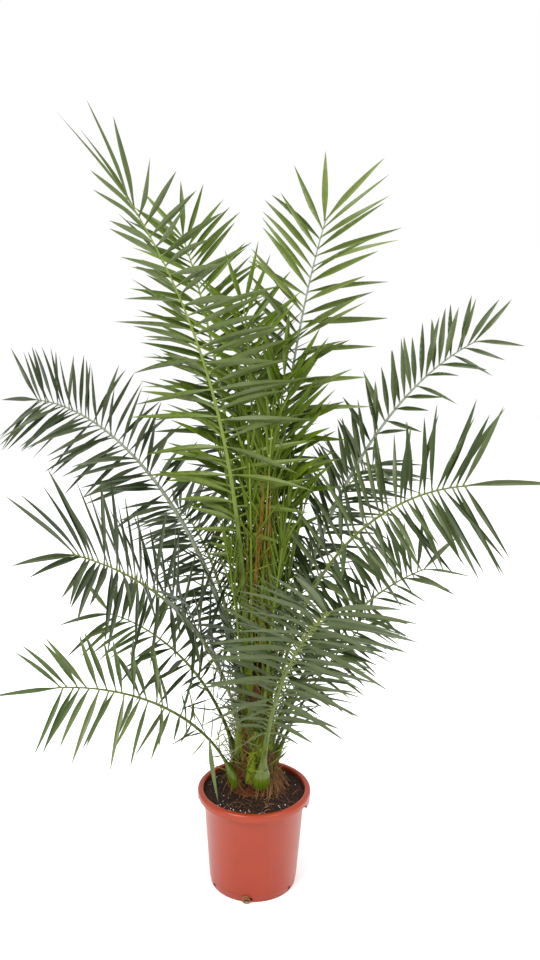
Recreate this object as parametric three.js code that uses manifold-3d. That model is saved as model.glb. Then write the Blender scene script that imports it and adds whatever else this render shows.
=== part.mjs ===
// A young date palm in a round plastic nursery pot, in millimetres, +Z up. The origin is the
// centre of the pot's flat underside. The pot is filled with soil, the swollen stem stands on
// the soil, and nineteen feathered fronds grow from it in a spiral: low old ones at the foot,
// broad arching ones round the middle and tall young ones at the top.
import * as THREE from "three";
import { mergeVertices } from "three/addons/utils/BufferGeometryUtils.js";
import Module from "manifold-3d";

const wasm = await Module();
wasm.setup();

// ---------------------------------------------------------------- driving dimensions
const CLEAR = 0.3; // gap between pieces that touch
const LEAF_CLEAR = 1.2; // room kept round a leaflet that passes another frond
const SIDES = { pot: 32, stem: 14 }; // facets round the turned pieces

const POT = {
  height: 252.7,
  footRadius: 108,
  neckRadius: 123.5, // outside, where the wall turns out under the rim
  mouthRadius: 125.5, // inside, at the rim
  rimRadius: 140,
  skirtHeight: 19, // how far the rolled rim turns down
  shoulder: 11, // how much lower the wall starts to turn out
  wall: 2.6,
  floor: 3,
};
const GRIP = { arc: 29, turn: -7.2, reach: 138.8, drop: 9, wall: 2.5 }; // two ears under the rim
const DRAIN = { count: 6, radius: 5, height: 8, sides: 8, turn: -92 };
const SOIL = { edge: 241, top: 244, flatRadius: 88 };
const STEM_BACK = 25; // how far the stem stands behind the pot's middle

// Stem: height above the floor and radius, from its flat foot on the soil to its tip.
const STEM = [
  [SOIL.top + CLEAR, 58],
  [262, 57],
  [290, 51],
  [330, 44],
  [390, 38],
  [450, 34],
  [520, 30],
  [580, 26],
  [625, 18],
  [640, 8],
];

// A frond's run: it leaves the stem at an angle round it (seat) and a height, and heads out at
// the angle (heading), which turns by (swing) towards its tip. It rises at rise[0] degrees at
// its foot and rise[1] at its tip, by the power (bend), and its blade rolls from roll[0] to
// roll[1]. Angles round the stem run from +X towards +Y.
// A frond's leaflets: the longest one (leaf), their angle to the rib (splay), the angle that
// each row is lifted (lift), the share of the rib that is bare (bare), the last leaflet as a
// share of the longest (end), how far a tip hangs for its length (sag), their step along the
// rib (step), and the width of the stalk (stalk) and of its swollen foot (foot). Where thin is
// given, every other leaflet of the right row (1) is missing; where last is, one leaflet ends
// the rib in a straight line.
const KINDS = {
  tall: { leaf: 195, splay: [76, 52], lift: 18, bare: 0.22, end: 1, sag: 0.06, step: 32, stalk: 16, foot: 8 },
  young: { leaf: 185, splay: [60, 42], lift: 15, bare: 0.25, end: 0.9, sag: 0.03, step: 35, stalk: 14, foot: 4 },
  side: { leaf: 185, splay: [80, 55], lift: 15, bare: 0.32, end: 1, sag: 0.09, step: 27, stalk: 15, foot: 10 },
  low: { leaf: 160, splay: [80, 56], lift: 10, bare: 0.36, end: 1, sag: 0.12, step: 26, stalk: 12, foot: 14 },
};
const FRONDS = [
  { name: "frond_tall_left", kind: "tall", seat: 205, height: 580, heading: 200, swing: 4,
    length: 1165, rise: [88, 53], bend: 1.8, roll: [-60, 5], leaf: 200, splay: [84, 60], lift: 7,
    end: 1.1, step: 30 },
  { name: "frond_tall_back_left", kind: "tall", seat: 125, height: 590, heading: 120, swing: 0,
    length: 1075, rise: [79, 50], bend: 1.9, roll: [10, 20], leaf: 180, splay: [72, 48] },
  { name: "frond_tall_right", kind: "tall", seat: 55, height: 570, heading: 58, swing: -1,
    length: 1090, rise: [84.5, 62], bend: 2, roll: [-5, -10], splay: [72, 50], lift: 10,
    end: 1.1 },
  { name: "frond_young_left", kind: "young", seat: 90, height: 610, heading: 105, swing: 0,
    length: 830, rise: [86, 62], bend: 2, roll: [10, 20] },
  { name: "frond_young_right", kind: "young", seat: 0, height: 610, heading: 70, swing: 0,
    length: 660, rise: [87, 72], bend: 2, roll: [-10, -20], splay: [45, 28], lift: 20 },
  { name: "frond_left", kind: "side", seat: 150, height: 460, heading: 150, swing: -23,
    length: 1140, rise: [78, -4], bend: 1.2, roll: [20, 75], leaf: 175, lift: 20, bare: 0.36,
    last: 1 },
  { name: "frond_left_front", kind: "side", seat: 205, height: 400, heading: 224, swing: -2,
    length: 765, rise: [85, 22], bend: 0.9, roll: [20, 50], leaf: 195, splay: [74, 52],
    bare: 0.24, step: 22 },
  { name: "frond_right", kind: "side", seat: 25, height: 480, heading: 22, swing: 6,
    length: 1050, rise: [74.5, 22], bend: 2.1, roll: [-20, -45], leaf: 165, splay: [66, 50],
    lift: 32, bare: 0.34, step: 23, thin: 1 },
  { name: "frond_right_front", kind: "side", seat: -20, height: 420, heading: -20, swing: -6,
    length: 855, rise: [80, 14], bend: 1.8, roll: [-20, -75], leaf: 190, lift: 12, bare: 0.3,
    end: 1.1, last: 1 },
  { name: "frond_right_back", kind: "side", seat: 30, height: 360, heading: 36, swing: -6,
    length: 610, rise: [60, 10], bend: 1.2, roll: [-10, -40], leaf: 175, end: 1.1 },
  { name: "frond_back", kind: "side", seat: 90, height: 500, heading: 92, swing: 0,
    length: 1000, rise: [80, 18], bend: 1.7, roll: [0, 30], lift: 20, step: 30 },
  { name: "frond_back_right", kind: "side", seat: 60, height: 400, heading: 55, swing: 0,
    length: 820, rise: [78, 8], bend: 1.4, roll: [0, -30], leaf: 175 },
  { name: "frond_back_left", kind: "side", seat: 128, height: 360, heading: 128, swing: 0,
    length: 800, rise: [78, 2], bend: 1.4, roll: [0, 30], leaf: 175 },
  { name: "frond_low_front", kind: "low", seat: -72, height: 268, heading: -72, swing: 2,
    length: 710, rise: [80, 38], bend: 0.95, roll: [0, 10], leaf: 200, splay: [84, 60], lift: 5,
    bare: 0.22, step: 22, stalk: 15, foot: 30, last: 1 },
  { name: "frond_low_left", kind: "low", seat: 215, height: 268, heading: 200, swing: 0,
    length: 545, rise: [72, 4], bend: 1, roll: [10, 65], leaf: 165, foot: 20, last: 1 },
  { name: "frond_low_right", kind: "low", seat: 5, height: 310, heading: 28, swing: 0,
    length: 500, rise: [66, 32], bend: 1.2, roll: [-10, -35], leaf: 130, lift: 15 },
  { name: "frond_low_back", kind: "low", seat: 92, height: 300, heading: 86, swing: 0,
    length: 660, rise: [74, 0], bend: 1.1, roll: [0, -30] },
  { name: "frond_low_back_left", kind: "low", seat: 160, height: 310, heading: 160, swing: 0,
    length: 560, rise: [76, 5], bend: 1.1, roll: [0, 40], leaf: 150 },
  { name: "frond_low_back_right", kind: "low", seat: 45, height: 275, heading: 50, swing: 0,
    length: 540, rise: [70, 0], bend: 1, roll: [0, -40], leaf: 140 },
].map((frond) => ({ thin: 0, last: 0, ...KINDS[frond.kind], ...frond }));

const RIB = {
  steps: 60,
  rings: 10,
  spread: 1.2, // how much closer the rings stand near the foot
  tip: 5, // the rib's width at its tip
  ridge: 0.4, // height of its ridge and depth of its flat side, as shares of its width
  below: 0.25,
  taper: 1.4,
  footLength: 34,
  sunk: 16,
};
const LEAFLET = {
  stepScale: 1.3, // these solid leaflets are fewer and wider than the plant's own
  width: 21,
  thick: 3,
  rootWidth: 7,
  rootFit: 0.8, // or this share of the rib's width, where the rib is thin
  widest: 0.4, // where along its length a leaflet is widest
  jitter: 12, // degrees of splay
  fluff: 40, // degrees of lift
};

// ---------------------------------------------------------------- materials
const finish = (color, roughness) => new THREE.MeshStandardMaterial({ color, roughness, metalness: 0 });
const MATERIALS = {
  pot: finish(0xbc5844, 0.42),
  soil: finish(0x47302a, 0.95),
  stem: finish(0x6b4a2e, 0.85),
  tall: finish(0x5f7a35, 0.55),
  young: finish(0x6f9a22, 0.5),
  side: finish(0x53683f, 0.55),
  low: finish(0x566846, 0.6),
};

// ---------------------------------------------------------------- solids and cuts
function toSolid(geometry) {
  const bare = geometry.clone();
  bare.deleteAttribute("normal");
  bare.deleteAttribute("uv");
  const merged = mergeVertices(bare, 1e-4);
  return new wasm.Manifold(new wasm.Mesh({
    numProp: 3,
    vertProperties: new Float32Array(merged.attributes.position.array),
    triVerts: new Uint32Array(merged.index.array),
  }));
}

function toMesh(name, solid, material) {
  const shape = solid.getMesh();
  const geometry = new THREE.BufferGeometry();
  geometry.setAttribute("position", new THREE.BufferAttribute(shape.vertProperties, 3));
  geometry.setIndex(new THREE.BufferAttribute(shape.triVerts, 1));
  const mesh = new THREE.Mesh(geometry, material);
  mesh.name = name;
  return mesh;
}

// A closed tube of rings with the same number of points, each turning anticlockwise as the next
// ring sees it; a ring of one point is a tip.
function ringSolid(rings) {
  const points = rings.flat();
  const faces = [];
  const starts = [];
  let count = 0;
  for (const ring of rings) {
    starts.push(count);
    count += ring.length;
  }
  const sides = rings[0].length;
  for (let i = 1; i < sides - 1; i += 1) faces.push(0, i + 1, i);
  for (let r = 0; r + 1 < rings.length; r += 1) {
    const [low, high] = [starts[r], starts[r + 1]];
    for (let i = 0; i < sides; i += 1) {
      const j = (i + 1) % sides;
      if (rings[r + 1].length === 1) {
        faces.push(low + i, low + j, high);
      } else {
        faces.push(low + i, low + j, high + j, low + i, high + j, high + i);
      }
    }
  }
  const last = starts[rings.length - 1];
  if (rings.at(-1).length > 1) {
    for (let i = 1; i < sides - 1; i += 1) faces.push(last, last + i, last + i + 1);
  }
  const geometry = new THREE.BufferGeometry().setFromPoints(points);
  geometry.setIndex(faces);
  return toSolid(geometry);
}

// A piece turned about +Z from (radius, height) points that run out, up and back to the axis.
function turned(profile, sides) {
  const outline = profile.map(([radius, height]) => new THREE.Vector2(radius, height));
  return toSolid(new THREE.LatheGeometry(outline, sides).rotateX(Math.PI / 2));
}

// A block bent round +Z: a ring's sector between two radii, two heights and two angles.
function sector(radii, heights, angles) {
  const [from, to] = angles.map(THREE.MathUtils.degToRad);
  const outline = new THREE.Shape();
  outline.absarc(0, 0, radii[1], from, to, false);
  outline.absarc(0, 0, radii[0], to, from, true);
  const depth = heights[1] - heights[0];
  const block = new THREE.ExtrudeGeometry(outline, { depth, bevelEnabled: false, curveSegments: 4 });
  return toSolid(block.translate(0, 0, heights[0]));
}

// ---------------------------------------------------------------- pot, soil and stem
function makePot() {
  const { height, footRadius, neckRadius, mouthRadius, rimRadius, wall, floor } = POT;
  const skirt = height - POT.skirtHeight;
  const shoulder = skirt - POT.shoulder;
  let pot = turned([
    [0, 0],
    [footRadius - 4, 0],
    [footRadius, 4],
    [neckRadius, shoulder],
    [mouthRadius + wall, skirt],
    [mouthRadius + wall, height - wall - 1],
    [rimRadius - wall, height - wall - 2],
    [rimRadius - wall - 0.8, skirt + 0.6],
    [rimRadius - 1.4, skirt],
    [rimRadius, height - 6],
    [rimRadius - 1.8, height - 1.8],
    [rimRadius - 6, height],
    [mouthRadius + 2.5, height - 0.3],
    [mouthRadius, height - 3],
    [mouthRadius, skirt + 2],
    [neckRadius - wall, shoulder],
    [footRadius - wall, floor + 4],
    [footRadius - wall - 3, floor],
    [0, floor],
  ], SIDES.pot);
  for (const turn of [GRIP.turn, GRIP.turn + 180]) {
    const ends = [turn - GRIP.arc / 2, turn + GRIP.arc / 2];
    const inset = THREE.MathUtils.radToDeg(GRIP.wall / GRIP.reach);
    const low = skirt - GRIP.drop;
    const ear = sector([neckRadius - 1, GRIP.reach], [low, height - 4], ends);
    const hollow = sector(
      [mouthRadius + wall + 1, GRIP.reach - GRIP.wall],
      [low - 1, height - wall - 4],
      [ends[0] + inset, ends[1] - inset],
    );
    const inside = turned([[0, 0], [neckRadius - 1, 0], [mouthRadius + 1, skirt], [mouthRadius + 1, height],
      [0, height]], SIDES.pot);
    pot = pot.add(ear.subtract(hollow).subtract(inside));
  }
  for (let i = 0; i < DRAIN.count; i += 1) {
    const hole = new THREE.CylinderGeometry(DRAIN.radius, DRAIN.radius, 20, DRAIN.sides);
    hole.rotateZ(Math.PI / 2).translate(footRadius, 0, DRAIN.height);
    hole.rotateZ(THREE.MathUtils.degToRad(DRAIN.turn + (i * 360) / DRAIN.count));
    pot = pot.subtract(toSolid(hole));
  }
  return pot;
}

function makeSoil() {
  const { footRadius, neckRadius, mouthRadius, wall, floor } = POT;
  const skirt = POT.height - POT.skirtHeight;
  return turned([
    [0, floor + CLEAR],
    [footRadius - wall - 3 - CLEAR, floor + CLEAR],
    [footRadius - wall - CLEAR, floor + 4 + CLEAR],
    [neckRadius - wall - CLEAR, skirt - POT.shoulder],
    [mouthRadius - CLEAR, skirt + 2],
    [mouthRadius - CLEAR, SOIL.edge],
    [mouthRadius - 18, SOIL.edge + 1.5],
    [SOIL.flatRadius, SOIL.top],
    [0, SOIL.top],
  ], SIDES.pot);
}

// The stem, or the same shape swollen by a gap, to cut a seat for the fronds.
function makeStem(gap = 0) {
  const outline = STEM.map(([height, radius]) => [radius + gap, height]);
  const [foot, tip] = [STEM[0][0], STEM.at(-1)[0]];
  outline[0][1] -= gap;
  const stem = turned([[0, foot - gap], ...outline, [0, tip + 2 + gap]], SIDES.stem);
  return stem.translate([0, STEM_BACK, 0]);
}

function stemRadius(height) {
  let i = 1;
  while (i < STEM.length - 1 && height > STEM[i][0]) i += 1;
  const [[lowHeight, lowRadius], [highHeight, highRadius]] = [STEM[i - 1], STEM[i]];
  return lowRadius + ((highRadius - lowRadius) * (height - lowHeight)) / (highHeight - lowHeight);
}

// ---------------------------------------------------------------- fronds
// A repeatable number from 0 to 1 for a whole number.
function chance(seed) {
  const value = Math.sin(seed * 12.9898) * 43758.5453;
  return value - Math.floor(value);
}

const ease = (from, to, value) => THREE.MathUtils.smoothstep(value, from, to);
const mix = (pair, share) => pair[0] + (pair[1] - pair[0]) * share;
const radians = THREE.MathUtils.degToRad;

// The rib as a list of places, one for each of its rings: a point on the frond's curve, and the
// directions along it, to its left and up. The curve is followed in finer steps.
function ribPlaces(frond) {
  const places = [];
  const stations = [];
  for (let i = 0; i <= RIB.rings; i += 1) {
    stations.push(Math.round((i / RIB.rings) ** RIB.spread * RIB.steps));
  }
  const seat = radians(frond.seat);
  const reach = stemRadius(frond.height) + 4;
  const [seatX, seatY] = [reach * Math.cos(seat), STEM_BACK + reach * Math.sin(seat)];
  const point = new THREE.Vector3(seatX, seatY, frond.height);
  for (let i = 0; i <= RIB.steps; i += 1) {
    const share = i / RIB.steps;
    const rise = radians(mix(frond.rise, share ** frond.bend));
    const heading = radians(frond.heading + frond.swing * share ** 1.5);
    const roll = radians(mix(frond.roll, share));
    const [outX, outY] = [Math.cos(heading), Math.sin(heading)];
    const along = new THREE.Vector3(Math.cos(rise) * outX, Math.cos(rise) * outY, Math.sin(rise));
    const level = new THREE.Vector3(outY, -outX, 0);
    const over = new THREE.Vector3(-Math.sin(rise) * outX, -Math.sin(rise) * outY, Math.cos(rise));
    if (i > 0) point.addScaledVector(along, frond.length / RIB.steps);
    if (!stations.includes(i)) continue;
    places.push({
      share,
      point: point.clone(),
      along,
      side: level.clone().multiplyScalar(Math.cos(roll)).addScaledVector(over, Math.sin(roll)),
      up: over.clone().multiplyScalar(Math.cos(roll)).addScaledVector(level, -Math.sin(roll)),
    });
  }
  return places;
}

function placeAt(places, share) {
  const next = places.findIndex((place) => place.share > share);
  const [low, high] = [places[next - 1], places[next]];
  const way = (share - low.share) / (high.share - low.share);
  const blend = (key) => low[key].clone().lerp(high[key], way);
  return { point: blend("point"), along: blend("along"), side: blend("side"), up: blend("up") };
}

function ribWidth(frond, share) {
  const stalk = (frond.stalk - RIB.tip) * (1 - share) ** RIB.taper;
  const foot = frond.foot * Math.exp(-(((share * frond.length) / RIB.footLength) ** 2));
  return RIB.tip + stalk + foot;
}

// The rib is three-sided: flat below, with a ridge on top between the two rows of leaflets.
function makeRib(frond, places) {
  const ring = (place, centre, width) => [
    centre.clone().addScaledVector(place.side, -width / 2).addScaledVector(place.up, -width * RIB.below),
    centre.clone().addScaledVector(place.up, width * RIB.ridge),
    centre.clone().addScaledVector(place.side, width / 2).addScaledVector(place.up, -width * RIB.below),
  ];
  const foot = places[0];
  const sunk = foot.point.clone().addScaledVector(foot.along, -RIB.sunk);
  return ringSolid([
    ring(foot, sunk, ribWidth(frond, 0) * 0.8),
    ...places.map((place) => ring(place, place.point, ribWidth(frond, place.share))),
  ]);
}

// One leaflet: a long keeled blade from inside the rib to its tip, swollen by a gap if asked.
// Its root is the widest section made smaller, so that its three sides are flat.
function makeLeaflet(leaflet, gap = 0) {
  const { root, tip, up, length, rootWidth } = leaflet;
  const run = tip.clone().sub(root).normalize();
  const across = run.clone().cross(up).normalize();
  const over = across.clone().cross(run);
  const width = LEAFLET.width * Math.min(1, 0.55 + (0.45 * length) / 170);
  const ring = (share, scale) => {
    const centre = root.clone().addScaledVector(run, length * share);
    const half = (width / 2 + gap) * scale;
    const [top, keel] = [(LEAFLET.thick / 3 + gap) * scale, (LEAFLET.thick + gap) * scale];
    return [
      centre.clone().addScaledVector(across, -half).addScaledVector(over, top),
      centre.clone().addScaledVector(across, half).addScaledVector(over, top),
      centre.clone().addScaledVector(over, -keel),
    ];
  };
  return ringSolid([
    ring(0, rootWidth / width),
    ring(LEAFLET.widest, 1),
    [root.clone().addScaledVector(run, length + gap)],
  ]);
}

// The frond rule: where each leaflet starts and ends, from the foot of the blade to its tip.
function leafletPlan(frond, order, places) {
  const plan = [];
  const count = Math.round((frond.length * (1 - frond.bare)) / (frond.step * LEAFLET.stepScale));
  for (const side of [1, -1]) {
    for (let i = 0; i < count; i += 1) {
      if (frond.thin === side && i % 2 === 1) continue;
      const seed = order * 1000 + i * 2 + (side > 0 ? 0 : 1);
      const blade = Math.min((i + (side > 0 ? 0.5 : 0.3)) / (count - 0.5), 1);
      const stray = ((chance(seed + 41) - 0.5) * 0.5) / count;
      const share = Math.min(frond.bare + (1 - frond.bare) * blade + stray, 0.999);
      const place = placeAt(places, share);
      const grown = (0.4 + 0.6 * ease(0, 0.28, blade)) * (1 - (1 - frond.end) * ease(0.55, 1, blade));
      const length = frond.leaf * grown * (0.9 + 0.2 * chance(seed + 7));
      const closing = frond.last ? 0 : 27 * ease(0.93, 1, blade);
      const turn = mix(frond.splay, blade ** 4) - closing;
      const splay = radians(turn + (chance(seed + 13) - 0.5) * LEAFLET.jitter);
      const fluff = (chance(seed + 29) - 0.5) * LEAFLET.fluff * (1 - 0.6 * blade);
      const lift = radians(frond.lift + fluff);
      const aim = place.along.clone().multiplyScalar(Math.cos(splay));
      aim.addScaledVector(place.side, Math.sin(splay) * side * Math.cos(lift));
      aim.addScaledVector(place.up, Math.sin(splay) * Math.sin(lift));
      const tip = place.point.clone().addScaledVector(aim, length);
      tip.z -= length * frond.sag;
      const rootWidth = Math.min(LEAFLET.rootWidth, ribWidth(frond, share) * LEAFLET.rootFit);
      plan.push({ root: place.point, tip, up: place.up, length, rootWidth });
    }
  }
  if (frond.last) {
    const { point, along, up } = placeAt(places, 0.999);
    const length = frond.leaf * frond.end;
    const tip = point.clone().addScaledVector(along, length);
    tip.z -= length * frond.sag;
    plan.push({ root: point, tip, up, length, rootWidth: ribWidth(frond, 1) * LEAFLET.rootFit });
  }
  return plan;
}

function boxesMeet(one, other) {
  return [0, 1, 2].every((axis) => one.min[axis] <= other.max[axis] && other.min[axis] <= one.max[axis]);
}

// Every frond's rib is made first, then its leaflets, front fronds before the hidden ones. A
// leaflet that would come near the stem, the pot or any other frond is left out.
function makeFronds(fixed) {
  const seatCut = makeStem(CLEAR);
  const taken = fixed.map((solid) => ({ owner: -1, solid, box: solid.boundingBox() }));
  const grown = FRONDS.map((frond, owner) => {
    const places = ribPlaces(frond);
    const solid = makeRib(frond, places).subtract(seatCut);
    taken.push({ owner, solid, box: solid.boundingBox() });
    return { frond, owner, places, solid };
  });
  for (const growing of grown) {
    for (const leaflet of leafletPlan(growing.frond, growing.owner + 1, growing.places)) {
      const room = makeLeaflet(leaflet, LEAF_CLEAR);
      const box = room.boundingBox();
      const near = taken.filter((other) => other.owner !== growing.owner && boxesMeet(box, other.box));
      if (near.some((other) => !room.intersect(other.solid).isEmpty())) continue;
      const solid = makeLeaflet(leaflet);
      taken.push({ owner: growing.owner, solid, box: solid.boundingBox() });
      growing.solid = growing.solid.add(solid);
    }
  }
  return grown.map(({ frond, solid }) => toMesh(frond.name, solid, MATERIALS[frond.kind]));
}

// ---------------------------------------------------------------- the plant
const [pot, soil, stem] = [makePot(), makeSoil(), makeStem()];
const palm = new THREE.Group();
palm.add(toMesh("pot", pot, MATERIALS.pot));
palm.add(toMesh("soil", soil, MATERIALS.soil));
palm.add(toMesh("stem", stem, MATERIALS.stem));
palm.add(...makeFronds([pot, soil, stem]));

export default palm;
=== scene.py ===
# A young date palm in a round nursery pot: the looks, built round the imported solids. Metres, +Z up.
# The fronds follow the solids' own rule, with finer leaflets that stand closer together.
from math import cos, degrees, exp, floor, hypot, pi, radians, sin, sqrt
import bmesh
import bpy
import numpy as np
from mathutils import Matrix, Vector, noise


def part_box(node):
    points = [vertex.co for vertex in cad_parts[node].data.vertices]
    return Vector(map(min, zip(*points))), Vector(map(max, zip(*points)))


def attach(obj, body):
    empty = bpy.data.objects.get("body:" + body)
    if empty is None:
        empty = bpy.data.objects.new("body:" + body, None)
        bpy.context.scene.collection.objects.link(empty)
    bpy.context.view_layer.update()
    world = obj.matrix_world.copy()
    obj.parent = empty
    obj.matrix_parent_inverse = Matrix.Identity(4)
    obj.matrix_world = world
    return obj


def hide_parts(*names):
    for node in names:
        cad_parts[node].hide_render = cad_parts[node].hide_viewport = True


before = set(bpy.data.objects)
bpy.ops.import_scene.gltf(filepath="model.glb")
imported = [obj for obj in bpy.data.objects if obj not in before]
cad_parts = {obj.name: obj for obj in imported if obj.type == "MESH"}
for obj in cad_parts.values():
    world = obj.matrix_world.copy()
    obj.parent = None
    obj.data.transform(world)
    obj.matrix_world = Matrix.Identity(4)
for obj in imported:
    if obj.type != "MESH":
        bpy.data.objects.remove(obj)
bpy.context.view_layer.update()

UP = np.array([0.0, 0.0, 1.0])
MM = 0.001
GOLDEN_TURN = 137.5  # degrees from one leaf base to the next round a stem

# ---- sizes from the frame
POT_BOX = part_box("pot")
SOIL_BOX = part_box("soil")
STEM_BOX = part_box("stem")
POT_HEIGHT = POT_BOX[1].z
RIM_RADIUS = POT_BOX[1].x
SOIL_TOP = SOIL_BOX[1].z
STEM_FOOT = STEM_BOX[0].z
STEM_AT = np.array([0.0, (STEM_BOX[0].y + STEM_BOX[1].y) / 2, 0.0])  # behind the pot's middle

# ---- the frond rule
# Stem: height and radius, from its foot on the soil to its tip.
STEM = [
    (STEM_FOOT, 0.058), (0.262, 0.057), (0.290, 0.051), (0.330, 0.044), (0.390, 0.038),
    (0.450, 0.034), (0.520, 0.030), (0.580, 0.026), (0.625, 0.018), (0.640, 0.008),
]

# The keys of the solids' frond rule. A frond leaves the stem at an angle round it (seat) and a
# height, and heads out at an angle (heading), which turns by (swing). It rises at rise[0] degrees at
# its foot and rise[1] at its tip, by the power (bend), and rolls from roll[0] to roll[1], by the
# power (twist). Its leaflets: the longest (leaf), the first and last angle to the rib (splay), the
# lift of each row (lift), the bare share of the rib (bare), the last one's share of the longest
# (end), how far a tip hangs (sag), their step along the rib (step), and the widths of the stalk, the
# foot and a leaflet (wide). Every other leaflet of one row may be missing (thin), both rows may lean
# (skew), and the blade may end in one straight leaflet (last) or in a pair that closes up by (nip)
# degrees and is longer (crown). Only the looks have the rest: leaflets stand closer together, by
# (close), a bright frond has yellow swellings on its rib, and rib and tone name other colours.
KINDS = {
    "tall": dict(leaf=195, splay=(76, 52), lift=18, bare=0.22, end=1, sag=0.06, step=32, stalk=16,
                 foot=8, wide=17, close=0.74, slot="leaf"),
    "young": dict(leaf=185, splay=(60, 42), lift=15, bare=0.25, end=0.9, sag=0.03, step=35, stalk=14,
                  foot=4, wide=16, close=0.7, slot="young_leaf"),
    "side": dict(leaf=185, splay=(80, 55), lift=15, bare=0.32, end=1, sag=0.09, step=27, stalk=18,
                 foot=8, wide=15, close=0.62, slot="leaf"),
    "low": dict(leaf=160, splay=(80, 56), lift=10, bare=0.36, end=1, sag=0.12, step=26, stalk=14,
                foot=14, wide=14, close=0.7, slot="old_leaf"),
}
# Each row: name, seat, height, heading, swing, length, rise, bend, roll, and what differs from
# its kind.
FROND_ROWS = {
    "tall": [
        ("tall_left", 225, 580, 200, 4, 1122, (87, 56), 1.7, (-60, 0),
         dict(twist=2, leaf=212, splay=(82, 54), lift=7, step=30, skew=4, nip=35, crown=1.12,
              bright=1)),
        ("tall_back_left", 125, 590, 120, 0, 1075, (79, 50), 1.9, (10, 20),
         dict(leaf=180, splay=(72, 48), close=0.6)),
        # Painted light: this right-hand frond takes a lighter copy of its kind's greens, to lift it
        # where the lamps light less.
        ("tall_right", 55, 570, 58, -1, 1090, (84.5, 62), 2, (-5, -10),
         dict(splay=(62, 52), lift=10, end=1.05, skew=-7, crown=1.12, rib="grey",
              tone="tall_pale")),
    ],
    "young": [
        ("young_left", 90, 610, 105, 0, 830, (86, 62), 2, (10, 20), dict()),
        ("young_right", 0, 610, 70, 0, 660, (87, 72), 2, (-10, -20), dict(splay=(45, 28), lift=20)),
    ],
    "side": [
        ("left", 150, 460, 143, -3, 1105, (78, -1), 1.2, (20, 75),
         dict(leaf=174, lift=20, bare=0.36, skew=-5, last=1, rib="grey")),
        ("left_front", 205, 403, 224, -2, 724, (76, 24), 1, (20, 46),
         dict(leaf=208, splay=(74, 52), bare=0.24, step=22, skew=-2, close=0.56, bright=1)),
        # Painted light: these three right-hand fronds take a lighter copy of the side greens, to lift
        # them where the lamps light less.
        ("right", 25, 480, 22, 6, 1060, (74, 22), 2.1, (-20, -45),
         dict(leaf=150, splay=(60, 55), lift=26, bare=0.34, end=1.1, step=26, close=0.76, wide=17,
              thin=1, skew=-13, crown=1.15, rib="grey", tone="side_pale")),
        ("right_front", -20, 420, -20, -6, 834, (80, 12), 1.8, (-20, -75),
         dict(leaf=190, splay=(76, 51), lift=12, bare=0.3, end=1.1, skew=-3, close=0.56, last=1,
              bright=1, tone="side_pale")),
        ("right_back", 30, 360, 36, -6, 625, (60, 10), 1.2, (-10, -40),
         dict(leaf=150, end=1.2, thin=1, tone="side_pale")),
        ("back", 90, 500, 92, 0, 1000, (80, 18), 1.7, (0, 30), dict(lift=20, step=30)),
        ("back_right", 60, 400, 55, 0, 820, (78, 8), 1.4, (0, -30), dict(leaf=175)),
        ("back_left", 128, 360, 116, 0, 720, (78, 2), 1.4, (0, 30), dict(leaf=165, skew=14)),
    ],
    "low": [
        ("low_front", -72, 280, -72, 3, 700, (84, 38), 0.7, (5, 28),
         dict(leaf=196, splay=(84, 62), lift=5, bare=0.22, step=22, close=0.62, wide=18, stalk=16,
              foot=29, bright=1)),
        ("low_left", 215, 268, 199, 0, 546, (78, 6), 0.75, (10, 65),
         dict(leaf=156, close=0.8, splay=(72, 52), foot=20, skew=5, last=1, bright=1,
              tone="low_pale")),
        ("low_right", 5, 310, 28, 0, 390, (66, 36), 1.2, (-10, -35),
         dict(leaf=115, lift=15, stalk=10, foot=8)),
        ("low_back", 92, 300, 86, 0, 660, (74, 0), 1.1, (0, -30), dict()),
        ("low_back_left", 160, 310, 160, 0, 510, (76, 8), 1.1, (0, 40), dict(leaf=150)),
        ("low_back_right", 45, 275, 50, 0, 540, (70, 0), 1, (0, -40),
         dict(leaf=140, stalk=10, foot=8)),
    ],
}
# What a frond has where its kind and its row don't say.
PLAIN = dict(twist=1, thin=0, skew=0, nip=27, last=0, crown=1, bright=0)
POSE = ("seat", "height", "heading", "swing", "length", "rise", "bend", "roll")
FRONDS = [
    {**PLAIN, **KINDS[kind], "kind": kind, "tone": kind, "name": f"frond_{name}",
     **dict(zip(POSE, pose)), **own}
    for kind, rows in FROND_ROWS.items() for name, *pose, own in rows]
THIN_SHARE = 0.72  # length of the leaflets in a thin row
ROW_START = {1: 0.5, -1: 0.3}  # where the right and the left row of leaflets start, in steps
FIRST_LEAFLET = 0.4  # length of the first leaflet, as a share of the longest
GROWN_AT, FADES_AT, CLOSES_AT = 0.28, 0.55, 0.93  # shares of the blade, for length and for the nip
STRAY = dict(place=0.5, splay=16, lift=44)  # how far leaflets stray, in steps and in degrees
RIB_STEPS = 60
RIB_END = 0.999  # where the last leaflet leaves the rib
RIB_TIP = 3.2  # width of a rib at its tip, in mm
RIB_GAP = 4  # from the stem to the foot of a rib's middle line, in mm
FOOT_LENGTH = 37  # how far up the stalk its foot is swollen, in mm
BULB_RISE = 8  # how far above its foot a low frond's bulb is widest, in mm
# Leaflets gather in clusters: their number, how far they gather, and the turn and the lift of the
# first, second and third in degrees.
CLUSTER = dict(size=3, pull=0.3, turn=(8, -9, 0), lift=(-14, 3, 19))


def chance(seed):
    """A repeatable number from 0 to 1 for a whole number."""
    value = sin(seed * 12.9898) * 43758.5453
    return value - floor(value)


def between(low, high, seed):
    """A repeatable number from low to high."""
    return low + (high - low) * chance(seed)


def spread(width, seed):
    """A repeatable number up to half a width on either side of 0."""
    return width * (chance(seed) - 0.5)


def pick(shares, seed):
    """A tint from (tint, share) pairs. Each share counts the ones before it, and the last is 1."""
    value = chance(seed)
    return next(tint for tint, share in shares if value < share)


def ease(start, end, value):
    share = min(max((value - start) / (end - start), 0.0), 1.0)
    return share * share * (3 - 2 * share)


def mix(pair, share):
    return pair[0] + (pair[1] - pair[0]) * share


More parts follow.
